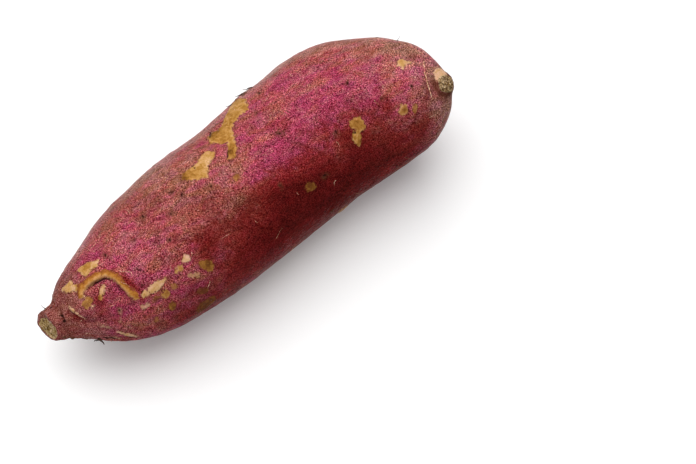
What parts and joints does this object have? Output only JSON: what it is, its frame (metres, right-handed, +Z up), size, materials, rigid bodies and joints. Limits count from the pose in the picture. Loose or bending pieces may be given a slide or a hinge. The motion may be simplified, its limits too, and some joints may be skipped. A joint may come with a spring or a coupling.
{
  "type": "sweet potato",
  "caption": "Whole purple-skinned sweet potato, a long tapering root with a snapped tail stub and a small broken crown, lying on its belly.",
  "frame": {"origin": "on the surface that it rests on, under the middle of its box", "axes": "+X along the root from the snapped tail to the crown, +Y across it, +Z up from the belly it rests on"},
  "size_m": [0.1936, 0.0732, 0.0598],
  "materials": {
    "skin": "thin matt to satin magenta-purple skin with a fine speckle, corky tan scars and dry grey-brown broken ends"
  },
  "bodies": {
    "root": {"sweet_potato": "skin"}
  },
  "joints": []
}
